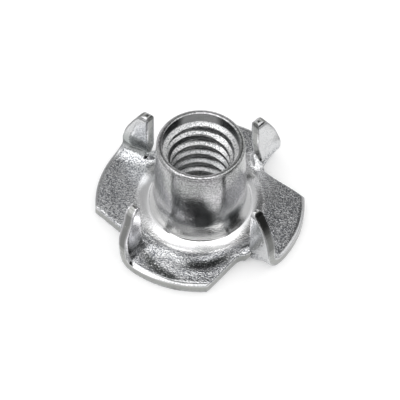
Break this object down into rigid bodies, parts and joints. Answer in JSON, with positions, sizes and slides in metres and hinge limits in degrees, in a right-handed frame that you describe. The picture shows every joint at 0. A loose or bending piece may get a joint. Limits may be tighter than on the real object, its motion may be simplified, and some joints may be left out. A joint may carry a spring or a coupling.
{
  "type": "pronged tee nut",
  "caption": "Pronged tee nut: a drawn, threaded barrel on a flange of pinwheel lobes, each ending in a bent-up chisel-tipped prong.",
  "frame": {"origin": "on the axis of the barrel, in the plane of the flange's underside", "axes": "+Z along the barrel from the flange to the rim; the inner faces of the four prongs stand in the vertical planes at 45 degrees to +X and +Y"},
  "size_m": [0.019, 0.019, 0.0095],
  "materials": {
    "zinc_plated_steel": "bright zinc plate over cold-formed steel, satin on the lobes and smoother on the drawn barrel"
  },
  "bodies": {
    "root": {"tee_nut": "zinc_plated_steel"}
  },
  "joints": []
}
